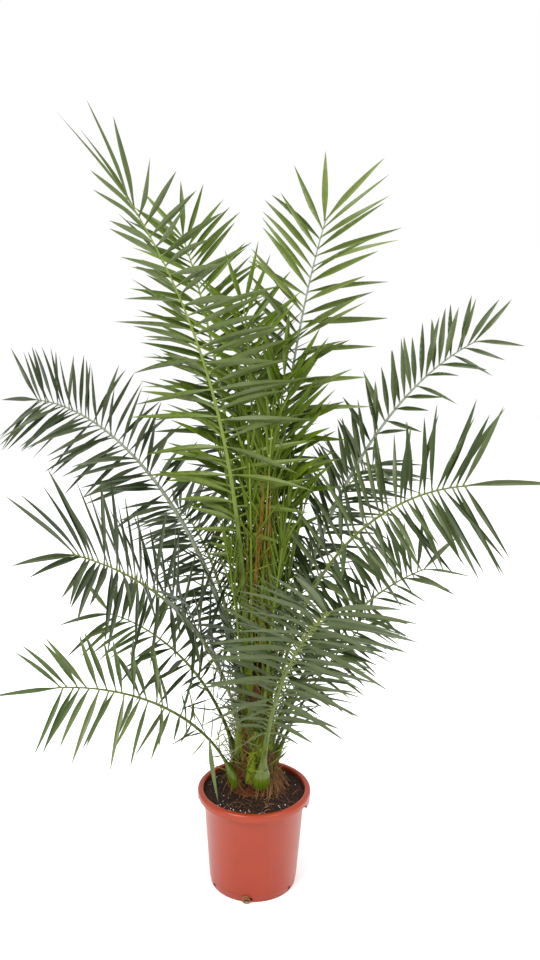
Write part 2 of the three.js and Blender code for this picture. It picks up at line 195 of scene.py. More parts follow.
def stem_radius(height):
    heights, radii = zip(*STEM)
    return float(np.interp(height, heights, radii))


def unit(vector):
    return vector / np.linalg.norm(vector)


def level_way(turn):
    """The level direction at an angle round the upright."""
    return np.array([cos(turn), sin(turn), 0.0])


def quarter_turn(way):
    """A level direction turned by a quarter."""
    return np.array([-way[1], way[0], 0.0])


def turns(count):
    return np.linspace(0, 2 * pi, count, endpoint=False)


def on_circle(radius, turn, height):
    return [radius * cos(turn), radius * sin(turn), height]


def round_ring(centre, radius, side, up, angles):
    """Points round a centre, in the plane of side and up."""
    return np.array([centre + radius * (cos(turn) * side + sin(turn) * up)
                     for turn in angles])


def curve_at(start, bend, end, share):
    """A point on a curve with one bend, and the direction in which the curve runs there."""
    point = (1 - share) ** 2 * start + 2 * share * (1 - share) * bend + share ** 2 * end
    return point, unit((1 - share) * (bend - start) + share * (end - bend))


def tapered(radius, share, end):
    """The radius along a piece that is thickest in its middle; a larger end is less tapered."""
    return radius * (0.35 + 0.65 * sin(pi * (end + (1 - 2 * end) * share)))


def rib_places(frond):
    """Places along the rib's curve: (point, along, side, up), with side to the rib's right."""
    seat = radians(frond["seat"])
    height = frond["height"] * MM
    point = STEM_AT + np.array(on_circle(stem_radius(height) + RIB_GAP * MM, seat, height))
    places = []
    for i in range(RIB_STEPS + 1):
        share = i / RIB_STEPS
        rise = radians(mix(frond["rise"], share ** frond["bend"]))
        out = level_way(radians(frond["heading"] + frond["swing"] * share ** 1.5))
        roll = radians(mix(frond["roll"], share ** frond["twist"]))
        along = cos(rise) * out + sin(rise) * UP
        level = -quarter_turn(out)
        over = -sin(rise) * out + cos(rise) * UP
        if i > 0:
            point = point + along * frond["length"] * MM / RIB_STEPS
        side = cos(roll) * level + sin(roll) * over
        up = cos(roll) * over - sin(roll) * level
        places.append((point, along, side, up))
    return places


def place_at(places, share):
    exact = share * RIB_STEPS
    i = min(int(exact), RIB_STEPS - 1)
    way = exact - i
    return [low * (1 - way) + high * way for low, high in zip(places[i], places[i + 1])]


def rib_width(frond, share):
    stalk = (frond["stalk"] - RIB_TIP) * (1 - share) ** 1.25
    rise = share * frond["length"] - (BULB_RISE if frond["kind"] == "low" else 0)
    foot = frond["foot"] * exp(-((rise / FOOT_LENGTH) ** 2))
    return (RIB_TIP + stalk + foot) * MM


def leaflet_aim(place, side, splay, lift):
    """Where a leaflet points, from its angles to the rib and above the blade, in degrees."""
    _, along, across, up = place
    splay, lift = radians(splay), radians(lift)
    aim = cos(splay) * along + sin(splay) * sin(lift) * up
    return unit(aim + sin(splay) * cos(lift) * side * across)


def leaflet_plan(frond, order, places):
    """The frond rule: where each leaflet starts, where it aims, and how far its tip hangs."""
    plan = []
    bare = frond["bare"]
    longest = frond["leaf"] * MM

    def add(place, aim, length, seed, share):
        plan.append(dict(root=place[0], aim=aim, up=unit(place[3]), length=length, seed=seed,
                         share=share, drop=length * frond["sag"]))

    count = round(frond["length"] * (1 - bare) / (frond["step"] * frond["close"]))
    for side in (1, -1):
        thin = frond["thin"] == side
        for i in range(count):
            if thin and i % 2:
                continue
            seed = order * 1000 + i * 2 + (0 if side > 0 else 1)
            blade = min((i + ROW_START[side]) / (count - 0.5), 1)
            member = i % CLUSTER["size"]
            gather = CLUSTER["pull"] * (1 - member) * (1 - blade)
            stray = (spread(STRAY["place"], seed + 41) + gather) / count
            share = min(bare + (1 - bare) * (blade + stray), RIB_END)
            grown = FIRST_LEAFLET + (1 - FIRST_LEAFLET) * ease(0, GROWN_AT, blade)
            grown *= 1 - (1 - frond["end"]) * ease(FADES_AT, 1, blade)
            length = longest * grown * between(0.9, 1.1, seed + 7)
            length *= THIN_SHARE if thin else 1
            if i == count - 1:
                length *= frond["crown"]
            apart = 1 - blade ** 3
            splay = mix(frond["splay"], blade ** 4) - side * frond["skew"]
            splay += CLUSTER["turn"][member] * apart
            if not frond["last"]:
                splay -= frond["nip"] * ease(CLOSES_AT, 1, blade)
            splay += spread(STRAY["splay"], seed + 13)
            lift = frond["lift"] + CLUSTER["lift"][member] * apart
            lift += spread(STRAY["lift"], seed + 29) * (1 - 0.6 * blade)
            place = place_at(places, share)
            add(place, leaflet_aim(place, side, splay, lift), length, seed, share)
    if frond["last"]:
        place = place_at(places, RIB_END)
        add(place, unit(place[1]), longest * frond["end"], order * 1000 + 999, RIB_END)
    return plan


# ---- joined meshes
class Heap:
    """The points and faces of one joined piece, gathered as it grows."""

    def __init__(self):
        self.points = []
        self.faces = []
        self.tints = []
        self.count = 0

    def add(self, points, faces, tint=0):
        self.points.append(np.asarray(points, dtype=float))
        self.faces.extend([tuple(corner + self.count for corner in face) for face in faces])
        self.tints.extend(tint if isinstance(tint, list) else [tint] * len(faces))
        self.count += len(points)

    def tube(self, rings, tint=0, under=None, loop=False):
        """A tube of equal rings, closed at its ends or joined into a loop. It has one tint, or one
        for each step between rings, and another (under) for half its sides if asked."""
        sides, count = len(rings[0]), len(rings)
        steps = count if loop else count - 1
        tints = tint if isinstance(tint, list) else [tint] * steps
        faces, dealt = [], []
        for r in range(steps):
            low, high = r * sides, (r + 1) % count * sides
            for i in range(sides):
                j = (i + 1) % sides
                faces.append((low + i, low + j, high + j, high + i))
                dealt.append(under if under is not None and i < sides // 2 else tints[r])
        if not loop:
            faces += [tuple(range(sides - 1, -1, -1)), tuple(range(steps * sides, count * sides))]
            dealt += [tints[0], tints[-1]]
        self.add(np.concatenate(rings), faces, dealt)

    def mesh(self, name):
        mesh = bpy.data.meshes.new(name)
        mesh.from_pydata(np.concatenate(self.points).tolist(), [], self.faces)
        return mesh

    def piece(self, name, materials, slot, replaces=(), sharp=35):
        """The finished piece: its creases are sharper than an angle in degrees."""
        mesh = self.mesh(name)
        for material in materials:
            mesh.materials.append(material)
        mesh.polygons.foreach_set("material_index", self.tints)
        shell = bmesh.new()
        shell.from_mesh(mesh)
        bmesh.ops.recalc_face_normals(shell, faces=shell.faces)
        shell.to_mesh(mesh)
        shell.free()
        mesh.shade_smooth()
        mesh.set_sharp_from_angle(angle=radians(sharp))
        piece = put_in_scene(name, mesh)
        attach(piece, "root")
        if replaces:
            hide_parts(*replaces)
        return piece


def put_in_scene(name, data):
    thing = bpy.data.objects.new(name, data)
    bpy.context.scene.collection.objects.link(thing)
    return thing


# ---- materials
def linear(red, green, blue):
    """A screen colour, 0 to 255, as the linear colour that shaders take."""
    def one(value):
        value /= 255
        return value / 12.92 if value <= 0.04045 else ((value + 0.055) / 1.055) ** 2.4
    return (one(red), one(green), one(blue), 1.0)


def shade(colour, factor):
    return (*(channel * factor for channel in colour[:3]), 1.0)


def new_material(name):
    material = bpy.data.materials.new(name)
    material.use_nodes = True
    return material, material.node_tree, material.node_tree.nodes["Principled BSDF"]


def set_inputs(tree, node, inputs):
    """Sets a node's inputs to values, or joins them to the sockets of other nodes."""
    for name, value in inputs.items():
        if isinstance(value, bpy.types.NodeSocket):
            tree.links.new(value, node.inputs[name])
        else:
            node.inputs[name].default_value = value


def add_node(tree, kind, inputs, output):
    """A new node of a kind, by its output."""
    node = tree.nodes.new(f"ShaderNode{kind}")
    set_inputs(tree, node, inputs)
    return node.outputs[output]


def add_noise(tree, scale, detail=4.0, stretch=None):
    """Noise in the piece's own coordinates, stretched along an axis if asked."""
    place = add_node(tree, "TexCoord", {}, "Object")
    if stretch is not None:
        place = add_node(tree, "Mapping", {"Scale": stretch, "Vector": place}, "Vector")
    return add_node(tree, "TexNoise", {"Scale": scale, "Detail": detail, "Vector": place}, "Fac")


def add_ramp(tree, source, stops):
    """Colours along a source, from (place, colour) stops."""
    ramp = tree.nodes.new("ShaderNodeValToRGB")
    elements = ramp.color_ramp.elements
    while len(elements) < len(stops):
        elements.new(0.5)
    for element, (place, colour) in zip(elements, stops):
        element.position = place
        element.color = colour
    tree.links.new(source, ramp.inputs["Fac"])
    return ramp.outputs["Color"]


def mottled(name, colour, depth=0.25, scale=60.0, rough=(0.45, 0.6), bump=0.2, relief=0.4 * MM,
            stretch=None, specular=0.5):
    """A surface of one colour that is mottled lighter and darker, with a fine relief."""
    material, tree, shader = new_material(name)
    fac = add_noise(tree, scale, stretch=stretch)
    stops = [(0.25, shade(colour, 1 - depth)), (0.5, colour), (0.75, shade(colour, 1 + depth))]
    set_inputs(tree, shader, {
        "Base Color": add_ramp(tree, fac, stops),
        "Roughness": add_node(tree, "MapRange", {"Value": fac, "To Min": rough[0],
                                                 "To Max": rough[1]}, "Result"),
        "Normal": add_node(tree, "Bump", {"Strength": bump, "Distance": relief, "Height": fac},
                           "Normal"),
        "Specular IOR Level": specular,
    })
    return material


def mottled_all(looks):
    """The materials of a table of colours and looks, and the place of each in the list."""
    materials = [mottled(name, linear(*colour), **look) for name, (colour, look) in looks.items()]
    return materials, {name: i for i, name in enumerate(looks)}


# The greens of each kind or tone of frond: some tints for the upper faces, and last the underside,
# its own green made lighter and greyer than the upper faces by a painted grey sheen.
LEAF_TINTS = {
    "tall": [(56, 71, 14), (65, 81, 17), (50, 65, 13), (74, 91, 24), (72, 84, 42)],
    # Painted light: a lighter copy of the tall greens, for a frond on the dimly lit right.
    "tall_pale": [(71, 84, 32), (81, 95, 40), (63, 75, 28), (91, 103, 50), (92, 100, 64)],
    "young": [(71, 90, 12), (80, 100, 15), (64, 81, 11), (80, 94, 32)],
    "heart": [(70, 90, 10), (82, 104, 13), (60, 78, 10), (80, 96, 20)],
    "side": [(44, 53, 30), (53, 61, 38), (38, 48, 26), (61, 69, 44), (66, 74, 58)],
    # Painted light: a lighter copy of the side greens, for fronds on the dimly lit right.
    "side_pale": [(55, 67, 34), (66, 76, 43), (48, 60, 30), (74, 85, 50), (80, 90, 66)],
    "low": [(54, 67, 31), (63, 75, 37), (47, 60, 27), (74, 84, 53)],
    "low_pale": [(78, 90, 50), (90, 100, 60), (67, 81, 43), (102, 110, 82)],
    "spine": [(92, 106, 26), (112, 118, 34), (58, 72, 24), (128, 104, 40), (104, 110, 40)],
}
LEAF_LOOK = dict(depth=0.14, scale=45, rough=(0.3, 0.42), bump=0.1, specular=0.18)
LEAF_MATERIALS, LEAF_PLACES = mottled_all({
    f"leaf_{tone}_{i}": (tint, LEAF_LOOK)
    for tone, tints in LEAF_TINTS.items() for i, tint in enumerate(tints)})


def leaf_tints(tone, seed):
    """One of a tone's tints for the upper face, and the tint of its underside, which carries a
    painted grey sheen.
    """
    first = LEAF_PLACES[f"leaf_{tone}_0"]
    count = len(LEAF_TINTS[tone]) - 1
    return first + int(chance(seed) * count), first + count


RIB_LOOK = dict(depth=0.12, rough=(0.35, 0.5), bump=0.1, specular=0.3)
STALK_LOOK = dict(depth=0.45, scale=160, rough=(0.16, 0.28), bump=0.4, relief=1 * MM,
                  stretch=(1, 1, 0.1), specular=0.4)
BASE_LOOK = dict(depth=0.5, scale=110, rough=(0.5, 0.75), bump=0.7, relief=1.5 * MM,
                 stretch=(1, 1, 0.12), specular=0.12)
FIBRE_LOOK = dict(depth=0.3, scale=120, rough=(0.7, 0.9), specular=0.2)
RIB_MATERIALS, RIB_TINT = mottled_all({
    "rib_tall": ((98, 114, 44), RIB_LOOK),
    "rib_young": ((98, 118, 34), RIB_LOOK),
    "rib_side": ((88, 98, 50), RIB_LOOK),
    "rib_low": ((70, 86, 12), STALK_LOOK),
    "pulvinus": ((96, 106, 44), dict(RIB_LOOK, rough=(0.45, 0.6))),
    "sheath_green": ((86, 102, 17), dict(BASE_LOOK, scale=90, rough=(0.45, 0.6), bump=0.6)),
    "sheath_red_brown": ((84, 50, 24), BASE_LOOK),
    "rib_grey": ((110, 118, 98), RIB_LOOK),
})
DEAD_TINT = RIB_TINT["sheath_red_brown"]
BROWN_MATERIALS, BROWN_TINT = mottled_all({
    "bark_dark": ((34, 24, 12), dict(BASE_LOOK, depth=0.4, scale=90, rough=(0.6, 0.85), bump=0.6,
                                     stretch=(1, 1, 0.2), specular=0.1)),
    "boot_red_brown": ((72, 47, 22), BASE_LOOK),
    "boot_green": ((92, 108, 17), dict(BASE_LOOK, depth=0.55, scale=100, rough=(0.5, 0.7), bump=0.6)),
    "fibre_straw": ((122, 94, 60), FIBRE_LOOK),
    "fibre_orange": ((124, 84, 24), dict(FIBRE_LOOK, rough=(0.6, 0.8))),
    "fibre_dark": ((104, 60, 36), FIBRE_LOOK),
})
BARK, BOOT_RED, BOOT_GREEN, STRAW, ORANGE, DARK = BROWN_TINT.values()


# ---- leaflets and ribs
LEAFLET_STATIONS = (0.0, 0.03, 0.08, 0.15, 0.24, 0.34, 0.45, 0.57, 0.69, 0.8, 0.9, 0.97, 1.0)
BLADE_THICK = 0.45 * MM


def leaflet_breadth(share):
    """Width of a leaflet along its length, as a share of its widest."""
    grown = 0.26 + 0.74 * ease(-0.02, 0.36, share)
    return grown * (1 - max(0.0, (share - 0.36) / 0.64) ** 1.55) + 0.015


WAVER = dict(bow=0.07, twist=70, lean=30)  # how leaflets vary, as a share of one and in degrees


def add_leaflet(heap, leaflet, width, fold, tint, under=None):
    """One folded blade: a keel from its root to its tip, and a half blade on each side of it."""
    root, aim, up, length = leaflet["root"], leaflet["aim"], leaflet["up"], leaflet["length"]
    seed = leaflet["seed"]
    tip = root + aim * length - UP * leaflet["drop"]
    aside = unit(np.cross(aim, up))
    bend = root + aim * length * 0.5 + aside * length * spread(WAVER["bow"], seed + 19)
    twist = radians(spread(WAVER["twist"], seed + 53))
    lean = radians(spread(WAVER["lean"], seed + 59))
    rings = []
    for share in LEAFLET_STATIONS:
        centre, run = curve_at(root, bend, tip, share)
        across = unit(np.cross(run, up))
        over = np.cross(across, run)
        turned = lean + twist * share
        across, over = (cos(turned) * across + sin(turned) * over,
                        cos(turned) * over - sin(turned) * across)
        half = width / 2 * leaflet_breadth(share)
        open_angle = radians(mix(fold, share ** 0.7))
        edge, rise = half * cos(open_angle), half * sin(open_angle)
        thick = BLADE_THICK * (1.2 - share)
        rings.append(np.array([
            centre - across * edge + over * rise,
            centre - over * thick,
            centre + across * edge + over * rise,
            centre + over * thick,
        ]))
    heap.tube(rings, tint, under)


def add_knob(heap, leaflet, rib, size, tint):
    """The small swelling where a leaflet joins its rib."""
    aim, up = leaflet["aim"], leaflet["up"]
    length, radius = size
    centre = leaflet["root"] + aim * rib * 0.45
    side = unit(np.cross(aim, up))
    heap.tube([round_ring(centre + aim * length * (share - 0.25), tapered(radius, share, 0.12),
                          side, up, turns(6)) for share in (0.0, 0.3, 0.65, 1.0)], tint)


def rib_ring(place, width, ridge, plump=0.0):
    """The rib's section: round below, and above from flat on the stalk to ridged in the blade. A
    plump section is nearly round."""
    point, _, side, up = place
    ring = []
    for turn in turns(12):
        x, y = cos(turn), sin(turn)
        depth = mix((0.35, 0.95), ridge) * (1 - 0.45 * ridge * abs(x)) if y > 0 else 0.62
        y *= mix((depth, 0.85), plump)
        ring.append(point + width / 2 * (x * side + y * up))
    return np.array(ring)


def sheath_ring(seat, height, radius, width, thick):
    """The section of a leaf base that clasps the stem."""
    ring = []
    for turn in turns(14):
        x, y = cos(turn), sin(turn)
        reach = radius + y * thick / 2 - 0.12 * thick * x * x
        ring.append(on_circle(reach, seat - x * min(width / 2 / radius, 2.6), height))
    return np.array(ring) + STEM_AT


def base_height(top, length, way, step):
    """The height of a section of a leaf base, which ends just below the stem's foot."""
    return max(top - length * (1 - way), STEM_FOOT - 3 * MM + 0.2 * MM * step)


# Sheaths: how far they reach below and above the foot of their stalk, the width of their lower end,
# and how many of their steps are brown.
SHEATH = dict(drop=130 * MM, rise=12 * MM, wide=72 * MM, steps=9, brown=3)
BULB_DEPTH = 26 * MM  # how far a low frond's bulb reaches below the foot of its rib
BULB_SECTIONS = (1.0, 0.95, 0.85, 0.7, 0.5, 0.25)  # shares of that depth
BULB_BROWN = 4  # how many steps of the bulb are withered


def add_sheath(heap, frond):
    """The base of a leaf, clasping the stem and narrowing up to the foot of its stalk."""
    seat = radians(frond["seat"])
    top = frond["height"] * MM + SHEATH["rise"]
    steps, brown = SHEATH["steps"], SHEATH["brown"]
    foot = rib_width(frond, 0)
    rings = []
    for i in range(steps + 1):
        way = i / steps
        height = base_height(top, SHEATH["drop"], way, i)
        bulge = 3.5 * MM * sin(pi * way)
        radius = stem_radius(height) + mix((-1.5, 4), way) * MM + bulge
        width = mix((SHEATH["wide"], foot * 1.15), ease(0, 1, way))
        rings.append(sheath_ring(seat, height, radius, width, mix((3 * MM, foot * 0.7), way)))
    heap.tube(rings, [DEAD_TINT] * brown + [RIB_TINT["sheath_green"]] * (steps - brown))


def add_rib(heap, frond, places, tint):
    """The stalk and rib. A low frond's stalk swells above the soil like an onion."""
    rings = []
    low = frond["kind"] == "low"
    if low:
        point, along, side, up = places[0]
        for depth in BULB_SECTIONS:
            below = (point - along * BULB_DEPTH * depth, along, side, up)
            wide = rib_width(frond, 0) * max(0.15, sqrt(1 - depth * depth))
            rings.append(rib_ring(below, wide, 0, 1))
    for i, place in enumerate(places):
        share = i / RIB_STEPS
        ridge = ease(frond["bare"] - 0.1, frond["bare"] + 0.1, share)
        plump = 1 - ease(20, 90, share * frond["length"]) if low else 0
        rings.append(rib_ring(place, rib_width(frond, share), ridge, plump))
    brown = BULB_BROWN if low else 0
    heap.tube(rings, [DEAD_TINT] * brown + [tint] * (len(rings) - 1 - brown))


# Spines: the share of the rib where they start, their step in mm, and the first and last angles.
SPINES = dict(first=0.1, step=16, splay=(30, 70))
LOW_SPINES = dict(first=0.08, step=19, splay=(52, 62))


def add_spines(heap, frond, order, places):
    """The stiff narrow leaflets on the stalk, below the blade."""
    spines = LOW_SPINES if frond["kind"] == "low" else SPINES
    first, last = spines["first"], frond["bare"]
    count = max(2, round((last - first) * frond["length"] / spines["step"]))
    for side in (1, -1):
        for i in range(count):
            seed = order * 500 + i * 2 + (0 if side > 0 else 1) + 90001
            way = (i + between(0.25, 0.75, seed)) / count
            place = place_at(places, mix((first, last), way))
            splay = mix(spines["splay"], way) + spread(30, seed + 3)
            aim = leaflet_aim(place, side, splay, 30 + spread(100, seed + 5))
            length = (60 + 75 * way ** 1.2) * between(0.8, 1.2, seed + 7) * MM
            spine = dict(root=place[0], aim=aim, up=unit(place[3]), length=length, seed=seed,
                         drop=length * 0.03)
            tone = "spine" if chance(seed + 9) < frond["bright"] * 0.5 else frond["tone"]
            add_leaflet(heap, spine, (3 + 5 * way) * MM, (60, 40), *leaf_tints(tone, seed + 11))


# Thickets of leaflets on the stem: their number, the heights of their feet in m, their lengths and
# widths in mm, and the share that is yellow.
THICKETS = [
    dict(seed=7000, count=190, heights=(0.285, 0.46), lengths=(45, 105), widths=(2.8, 5), spiny=0.6),
    dict(seed=9000, count=130, heights=(0.42, 0.66), lengths=(60, 125), widths=(3.5, 7), spiny=0.25),
]


def add_thicket(heap, thicket):
    """Stiff leaflets of old leaf bases, which cross one another in front of the stem."""
    for i in range(thicket["count"]):
        seed = i + thicket["seed"]
        height = between(*thicket["heights"], seed + 300)
        out = level_way(radians(GOLDEN_TURN * i))
        level = quarter_turn(out) * (1 if chance(seed + 400) < 0.5 else -1)
        aim = unit(level * between(0.4, 1, seed + 500) + UP * (0.15 + chance(seed + 600))
                   + out * between(0.1, 0.55, seed + 700))
        length = between(*thicket["lengths"], seed + 800) * MM
        reach = stem_radius(height) + between(2, 14, seed + 900) * MM
        spine = dict(root=STEM_AT + out * reach + UP * height, aim=aim, up=out, length=length,
                     seed=seed + 1000, drop=0.0)
        tone = "spine" if chance(seed + 1100) < thicket["spiny"] else "low"
        width = between(*thicket["widths"], seed + 1200) * MM
        add_leaflet(heap, spine, width, (60, 35), *leaf_tints(tone, seed + 1300))


# Young leaves and stalks that stand close together in the plant's heart: the angle round the stem,
# the foot's height, the length and the rise at the foot, in degrees and mm.
HEART = [
    (250, 560, 520, 88.5), (292, 600, 560, 87), (330, 540, 430, 86), (180, 575, 480, 86),
    (140, 605, 620, 88), (80, 600, 500, 87), (35, 560, 560, 85.5), (215, 500, 380, 84),
    (305, 470, 420, 83.5), (0, 500, 470, 83),
]
HEART_RULE = dict(kind="young", swing=0, bend=1.5, roll=(0, 0), leaf=125, splay=(26, 8), lift=25,
                  bare=0.1, step=30, stalk=9, foot=3, sag=0.02)


def make_heart(leaves, ribs):
    for order, (seat, height, length, rise) in enumerate(HEART, start=60):
        frond = {**PLAIN, **KINDS["young"], **HEART_RULE, "seat": seat, "heading": seat,
                 "height": height, "length": length, "rise": (rise, rise - 5)}
        places = rib_places(frond)
        add_rib(ribs, frond, places, RIB_TINT["rib_young"])
        for leaflet in leaflet_plan(frond, order, places):
            add_leaflet(leaves, leaflet, 8 * MM, (55, 30), *leaf_tints("heart", leaflet["seed"] + 67))


KNOB = [(8 * MM, 1.9 * MM), (10 * MM, 2.3 * MM)]  # length and radius, plain and bright
FULL_WIDTH_AT = 165 * MM  # length from which a leaflet is as wide as its frond's
# A pale leaflet that hangs down at the left of the stem.
HANGING = dict(root=np.array([-0.107, -0.085, 0.425]), aim=unit(np.array([0.14, -0.06, -1.0])),
               up=np.array([0.2, -1.0, 0.0]), length=0.165, seed=77, drop=0.0)


def make_fronds():
    leaves = {kind: Heap() for kind in KINDS}
    ribs = Heap()
    for order, frond in enumerate(FRONDS, start=1):
        kind = frond["kind"]
        places = rib_places(frond)
        rib_tint = RIB_TINT["rib_" + frond.get("rib", kind)]
        knob_tint = RIB_TINT["pulvinus"] if frond["bright"] else rib_tint
        add_rib(ribs, frond, places, rib_tint)
        if kind != "low":
            add_sheath(ribs, frond)
        add_spines(leaves[kind], frond, order, places)
        for leaflet in leaflet_plan(frond, order, places):
            seed = leaflet["seed"]
            fresh = kind == "tall" and leaflet["share"] < between(0.4, 0.6, seed + 61)
            tints = leaf_tints("young" if fresh else frond["tone"], seed + 67)
            width = frond["wide"] * MM * (0.5 + 0.5 * min(1, leaflet["length"] / FULL_WIDTH_AT))
            width *= between(0.85, 1.15, seed + 71)
            add_leaflet(leaves[kind], leaflet, width, (50, 14), *tints)
            rib = rib_width(frond, leaflet["share"])
            add_knob(ribs, leaflet, rib, KNOB[frond["bright"]], knob_tint)
    make_heart(leaves["young"], ribs)
    add_leaflet(leaves["low"], HANGING, 12 * MM, (30, 10), LEAF_PLACES["leaf_low_pale_0"])
    for thicket in THICKETS:
        add_thicket(leaves["low"], thicket)
    for kind, heap in leaves.items():
        names = [frond["name"] for frond in FRONDS if frond["kind"] == kind]
        heap.piece(f"leaflets_{kind}", LEAF_MATERIALS, KINDS[kind]["slot"], names)
    ribs.piece("ribs", RIB_MATERIALS, "leaf", [frond["name"] for frond in FRONDS], sharp=55)


# ---- stem
THREAD_UP = np.array([0.3, 0.0, 1.0])  # a direction along which no fibre runs


def add_thread(heap, start, end, bow, radius, tint, steps=7):
    """A thin curved fibre, three-sided."""
    middle = (start + end) / 2 + bow
    rings = []
    for i in range(steps + 1):
        share = i / steps
        centre, run = curve_at(start, middle, end, share)
        side = unit(np.cross(run, THREAD_UP))
        rings.append(round_ring(centre, tapered(radius, share, 0.1), side, np.cross(side, run),
                                (0.3, 2.4, 4.5)))
    heap.tube(rings, tint)


def on_stem(turn, height, out=0.0):
    return STEM_AT + np.array(on_circle(stem_radius(height) + out, turn, height))


def add_wrap(heap, turn, swing, heights, outs, radius, tint):
    """A fibre round the stem: the heights of its ends, and how far they and its middle stand out."""
    start = on_stem(turn, heights[0], outs[0])
    end = on_stem(turn + swing, heights[1], outs[1])
    middle = on_stem(turn + swing / 2, (heights[0] + heights[1]) / 2, outs[2])
    add_thread(heap, start, end, middle - (start + end) / 2, radius, tint)


def add_stump(heap, seat, height, length, rise, width, tint):
    """The withered stub of an old stalk, in degrees and mm."""
    turn, lean = radians(seat), radians(rise)
    out = level_way(turn)
    side = quarter_turn(out)
    along = cos(lean) * out + sin(lean) * UP
    up = np.cross(along, side)
    start = on_stem(turn, height * MM, -6 * MM)
    rings = []
    for way in (0.0, 0.2, 0.45, 0.7, 0.93, 1.0):
        size = width * MM * (1.25 - 0.45 * way) * (0.7 if way == 1.0 else 1.0)
        centre = start + along * length * MM * way
        ring = []
        for i, t in enumerate(turns(12)):
            ragged = between(0.85, 1.15, seat + i * 3 + round(way * 10))
            ring.append(centre + size / 2 * ragged * (cos(t) * side + 0.55 * sin(t) * up))
        rings.append(np.array(ring))
    heap.tube(rings, tint)


# Old leaf bases: the angle and top of the first, and the rise to the next. Width and length in mm.
BASES = dict(count=36, seat=20, first=0.325, rise=0.0078, steps=8, width=(17, 31), length=(70, 120))


def make_bark():
    """The stem's body, in old leaf bases that stand in a spiral, one above another."""
    rings = []
    for height in np.linspace(STEM_FOOT, STEM[-1][0], 100):
        ring = []
        for turn in turns(72):
            spot = Vector((cos(turn) * 3, sin(turn) * 3, height * 30))
            scales = abs(sin(height * 75 + turn * 3)) * 2 * MM
            reach = stem_radius(height) + 2 * MM * noise.noise(spot) - 3 * MM + scales
            ring.append(on_circle(reach, turn, height))
        rings.append(np.array(ring) + STEM_AT)
    body = Heap()
    body.tube(rings, BARK)
    steps = BASES["steps"]
    for i in range(BASES["count"]):
        seat = radians(i * GOLDEN_TURN + BASES["seat"])
        top = BASES["first"] + i * BASES["rise"]
        width = between(*BASES["width"], i + 300) * MM
        length = between(*BASES["length"], i + 320) * MM
        rings = []
        for step in range(steps + 1):
            way = step / steps
            height = base_height(top, length, way, step)
            out = (-1 + 5 * way + 3 * sin(pi * way)) * MM
            rings.append(sheath_ring(seat, height, stem_radius(height) + out, width * (1.5 - way),
                                     (7 - 4 * way) * MM))
        body.tube(rings, BOOT_GREEN if i > 5 and chance(i + 340) < 0.6 else BOOT_RED)
    body.piece("stem_bark", BROWN_MATERIALS, "stem", ["stem"])


# Withered stubs round the stem's foot: seat, height, length, rise and width, in degrees and mm.
STUMPS = [
    (18, 268, 52, 72, 17), (75, 272, 48, 68, 18), (125, 270, 44, 66, 18), (182, 270, 36, 62, 16),
]
MAT_TINTS = [(DARK, 0.55), (BOOT_RED, 0.75), (ORANGE, 0.85), (STRAW, 1)]
NET_TINTS = [(BARK, 0.3), (BOOT_GREEN, 0.6), (DARK, 0.8), (STRAW, 1)]


def add_mat(heap, count):
    """Crossing fibres that hug the stem, thickest at its foot."""
    for i in range(count):
        turn = chance(i + 410) * 2 * pi
        height = 0.25 + 0.24 * chance(i + 1430) ** 4
        swing = between(0.35, 0.95, i + 2450) * (1 if chance(i + 3450) < 0.5 else -1)
        low = max(SOIL_TOP + 1 * MM, height - between(15, 70, i + 470) * MM)
        outs = (between(2, 8, i + 1490) * MM, between(2, 8, i + 490) * MM,
                between(9, 21, i + 510) * MM)
        add_wrap(heap, turn, swing, (height, low), outs, between(0.4, 0.9, i + 530) * MM,
                 pick(MAT_TINTS, i + 550))


def add_net(heap, count):
    """A finer net higher up, between the leaf bases."""
    for i in range(count):
        turn = chance(i + 9410) * 2 * pi
        height = between(0.32, 0.52, i + 9430)
        swing = between(0.1, 0.6, i + 9450) * (1 if i % 2 else -1)
        low = height - between(20, 60, i + 9470) * MM
        add_wrap(heap, turn, swing, (height, low), (5 * MM, 5 * MM, 12 * MM),
                 between(0.4, 0.9, i + 9530) * MM, pick(NET_TINTS, i + 9550))


def add_fringe(heap, count):
    """Fibres that spread from the stem's foot over the soil, mostly on the right."""
    for i in range(count):
        turn = chance(i + 810) * 2 * pi
        if i % 4:
            turn = radians(-20 + spread(80, i + 810))
        heights = (between(0.258, 0.303, i + 820), SOIL_TOP + 1 * MM)
        outs = (5 * MM, between(6, 36, i + 840) * MM, between(14, 30, i + 850) * MM)
        add_wrap(heap, turn, spread(0.7, i + 830), heights, outs, between(0.4, 0.8, i + 860) * MM,
                 pick([(STRAW, 0.6), (DARK, 1)], i + 870))


def add_strands(heap, count):
    """Long fibres that stand up between the stalks."""
    for i in range(count):
        turn = chance(i + 610) * 2 * pi
        height = between(0.40, 0.66, i + 630)
        rise = between(0.10, 0.36, i + 650)
        end = STEM_AT + np.array(on_circle(between(12, 42, i + 640) * MM, turn, height + rise))
        bow = level_way(turn + 1.5) * spread(0.02, i + 660)
        add_thread(heap, on_stem(turn, height, 3 * MM), end, bow, between(0.8, 1.6, i + 670) * MM,
                   pick([(ORANGE, 0.7), (STRAW, 1)], i + 680), steps=12)


def add_heart_strands(heap, count):
    """Orange strands in the heart, where they show from the front."""
    for i in range(count):
        start = STEM_AT + np.array([between(-22, 32, i + 905) * MM, -0.05,
                                    between(0.66, 0.86, i + 910)])
        end = start + np.array([spread(0.02, i + 915), -0.005, between(0.1, 0.26, i + 920)])
        bow = np.array([spread(0.014, i + 925), 0, 0])
        add_thread(heap, start, end, bow, between(0.4, 0.8, i + 930) * MM,
                   ORANGE if i % 3 else STRAW, steps=12)


def make_fibres():
    loose = Heap()
    for stump in STUMPS:
        add_stump(loose, *stump, BOOT_RED)
    add_mat(loose, 900)
    add_net(loose, 220)
    add_fringe(loose, 170)
    add_strands(loose, 34)
    add_heart_strands(loose, 15)
    loose.piece("stem_fibres", BROWN_MATERIALS, "stem")


